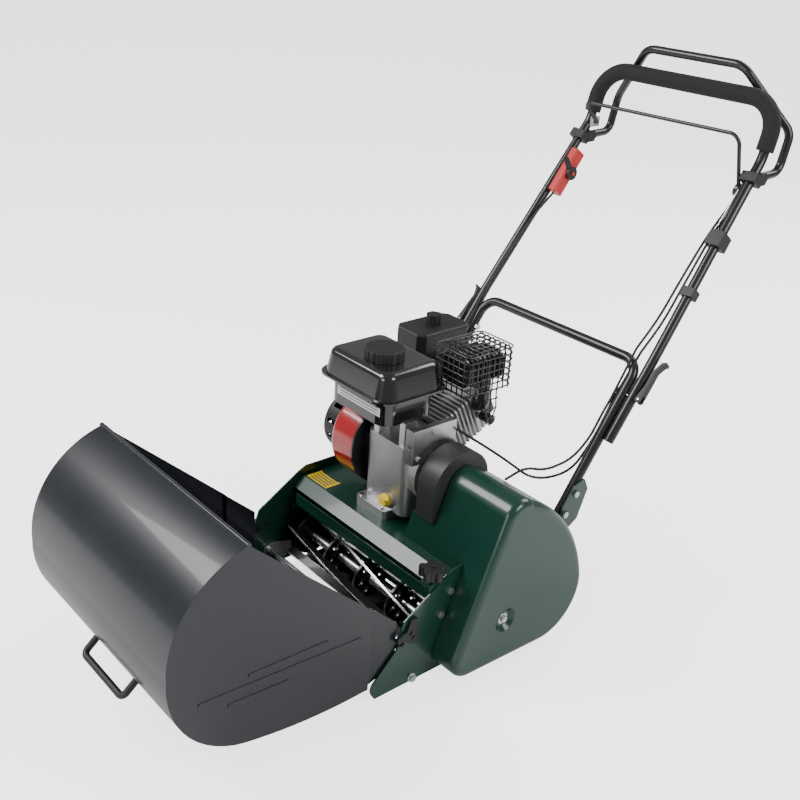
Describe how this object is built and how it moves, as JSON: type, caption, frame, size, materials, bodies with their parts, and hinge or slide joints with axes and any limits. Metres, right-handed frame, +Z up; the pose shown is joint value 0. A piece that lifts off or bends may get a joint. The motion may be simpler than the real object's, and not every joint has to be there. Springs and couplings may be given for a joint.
{
  "type": "reel mower",
  "caption": "Walk-behind petrol reel mower with a rear drive roller, helical cutting reel, front grass box and a folding tubular handle.",
  "frame": {"origin": "on the ground, in the middle plane, straight below the rear roller's axle", "axes": "+Z up, +Y backwards towards the person who walks behind, +X towards the chain-cover side"},
  "size_m": [0.5264, 1.3604, 1.0003],
  "materials": {
    "green": "gloss green paint",
    "black_paint": "satin black paint",
    "galvanised": "zinc plated",
    "bright_steel": "worn bright steel",
    "dark_steel": "dark oiled steel",
    "aluminium": "cast",
    "red_paint": "gloss red paint",
    "black_plastic": "moulded",
    "red_plastic": "moulded",
    "yellow_plastic": "moulded",
    "foam": "closed-cell foam",
    "chrome": "polished",
    "ceramic": "glazed"
  },
  "bodies": {
    "machine": {"side_plate_left": "green", "side_plate_right": "green", "engine_deck": "green", "deflector_plate": "green", "bottom_blade": "dark_steel", "handle_brackets": "green", "plate_bearings": "dark_steel", "drive_cover": "green", "drive_chains": "dark_steel", "chain_case": "green", "clutch_guard": "black_plastic", "crankcase": "aluminium", "cylinder_block": "aluminium", "cylinder_head": "aluminium", "blower_housing": "red_paint", "back_plate": "black_paint", "recoil_cup": "black_plastic", "fuel_tank": "black_paint", "air_cleaner_base": "black_plastic", "air_cleaner_cover": "black_plastic", "muffler": "black_paint", "muffler_guard": "black_paint", "support_plates": "galvanised", "fasteners": "galvanised", "lower_handle": "black_paint", "pivot_bolts": "galvanised", "spark_plug": "ceramic", "cables_lower": "black_plastic"},
    "reel": {"reel_shaft": "bright_steel", "reel_spiders": "dark_steel", "reel_blades": "dark_steel"},
    "rear_axle": {"roller_axle": "bright_steel"},
    "left_drum": {"roller_drum_left": "green"},
    "right_drum": {"roller_drum_right": "green"},
    "front_carrier": {"roller_carrier": "galvanised"},
    "front_roller": {"front_roller": "black_plastic"},
    "height_knob": {"height_knob": "black_plastic"},
    "crank": {"crankshaft": "bright_steel", "flywheel": "dark_steel"},
    "output": {"output_shaft": "bright_steel"},
    "upper_handle": {"upper_handle": "black_paint", "foam_grip": "foam", "handle_clamps": "black_plastic", "control_bracket": "galvanised", "throttle_body": "red_plastic", "cables_upper": "black_plastic"},
    "left_cam": {"cam_lever_left": "black_plastic"},
    "right_cam": {"cam_lever_right": "black_plastic"},
    "drive_bail": {"drive_bail": "black_paint"},
    "blade_bail": {"blade_bail": "black_paint"},
    "throttle_lever": {"throttle_lever": "black_plastic"},
    "fuel_cap": {"fuel_cap": "black_plastic"},
    "air_cleaner_knob": {"air_cleaner_knob": "black_plastic"},
    "dipstick": {"dipstick": "yellow_plastic"},
    "starter_grip": {"starter_grip": "black_plastic"},
    "grass_box": {"grass_box": "black_paint", "box_handle": "black_plastic"},
    "left_latch": {"box_latch_left": "black_plastic"},
    "right_latch": {"box_latch_right": "black_plastic"}
  },
  "joints": [
    {"name": "output_spin", "type": "hinge", "parent": "machine", "child": "output", "pos_m": [0, -0.088, 0.302], "axis": [1, 0, 0], "continuous": true},
    {"name": "reel_spin", "type": "hinge", "parent": "machine", "child": "reel", "pos_m": [0, -0.18, 0.072], "axis": [1, 0, 0], "continuous": true},
    {"name": "axle_spin", "type": "hinge", "parent": "machine", "child": "rear_axle", "pos_m": [0, 0, 0.075], "axis": [1, 0, 0], "continuous": true},
    {"name": "left_drum_spin", "type": "hinge", "parent": "machine", "child": "left_drum", "pos_m": [0, 0, 0.075], "axis": [1, 0, 0], "continuous": true},
    {"name": "right_drum_spin", "type": "hinge", "parent": "machine", "child": "right_drum", "pos_m": [0, 0, 0.075], "axis": [1, 0, 0], "continuous": true},
    {"name": "knob_turn", "type": "hinge", "parent": "machine", "child": "height_knob", "pos_m": [0.205, -0.221, 0.208], "axis": [0, 0, 1], "range_deg": [0, 2520]},
    {"name": "carrier_slide", "type": "slide", "parent": "machine", "child": "front_carrier", "axis": [0, 0, -1], "range_m": [0, 0.014]},
    {"name": "front_roller_spin", "type": "hinge", "parent": "front_carrier", "child": "front_roller", "pos_m": [0, -0.262, 0.022], "axis": [1, 0, 0], "continuous": true},
    {"name": "crank_spin", "type": "hinge", "parent": "machine", "child": "crank", "pos_m": [0, -0.088, 0.302], "axis": [1, 0, 0], "continuous": true},
    {"name": "handle_fold", "type": "hinge", "parent": "machine", "child": "upper_handle", "pos_m": [0, 0.239, 0.43], "axis": [1, 0, 0], "range_deg": [-95, 0]},
    {"name": "left_cam_open", "type": "hinge", "parent": "machine", "child": "left_cam", "pos_m": [0.2384, 0.239, 0.43], "axis": [0, 0.7549, -0.6559], "range_deg": [0, 90]},
    {"name": "right_cam_open", "type": "hinge", "parent": "machine", "child": "right_cam", "pos_m": [-0.2384, 0.239, 0.43], "axis": [0, -0.7549, 0.6559], "range_deg": [0, 90]},
    {"name": "drive_bail_press", "type": "hinge", "parent": "upper_handle", "child": "drive_bail", "pos_m": [0, 0.5395, 0.803], "axis": [1, 0, 0], "range_deg": [-12, 0], "stiffness_Nm_per_rad": 6, "springref_deg": 17.19},
    {"name": "blade_bail_pull", "type": "hinge", "parent": "upper_handle", "child": "blade_bail", "pos_m": [0.187, 0.516, 0.778], "axis": [0.9879, -0.0566, -0.1441], "range_deg": [-25, 0], "stiffness_Nm_per_rad": 1, "springref_deg": 17.19},
    {"name": "throttle_turn", "type": "hinge", "parent": "upper_handle", "child": "throttle_lever", "pos_m": [-0.175, 0.462, 0.735], "axis": [1, 0, 0], "range_deg": [-30, 30]},
    {"name": "fuel_cap_turn", "type": "hinge", "parent": "machine", "child": "fuel_cap", "pos_m": [-0.042, -0.142, 0.51], "axis": [0, 0, 1], "continuous": true},
    {"name": "filter_knob_turn", "type": "hinge", "parent": "machine", "child": "air_cleaner_knob", "pos_m": [-0.154, 0.078, 0.49], "axis": [0, 0, 1], "continuous": true},
    {"name": "dipstick_draw", "type": "slide", "parent": "machine", "child": "dipstick", "axis": [0, -0.8601, 0.5101], "range_m": [0, 0.06]},
    {"name": "starter_pull", "type": "slide", "parent": "machine", "child": "starter_grip", "axis": [0, 0, 1], "range_m": [0, 0.25]},
    {"name": "grass_box_off", "type": "slide", "parent": "machine", "child": "grass_box", "axis": [0, -1, 0], "range_m": [0, 0.3]},
    {"name": "left_latch_lift", "type": "hinge", "parent": "machine", "child": "left_latch", "pos_m": [0.2175, -0.268, 0.112], "axis": [1, 0, 0], "range_deg": [-60, 0]},
    {"name": "right_latch_lift", "type": "hinge", "parent": "machine", "child": "right_latch", "pos_m": [-0.2175, -0.268, 0.112], "axis": [1, 0, 0], "range_deg": [-60, 0]}
  ],
  "couplings": [
    {"joint": "reel_spin", "follows": "output_spin", "ratio": 0.75},
    {"joint": "axle_spin", "follows": "output_spin", "ratio": 0.20833},
    {"joint": "left_drum_spin", "follows": "output_spin", "ratio": 0.20833},
    {"joint": "right_drum_spin", "follows": "output_spin", "ratio": 0.20833},
    {"joint": "knob_turn", "follows": "carrier_slide", "rad_per_m": 3141.6}
  ]
}
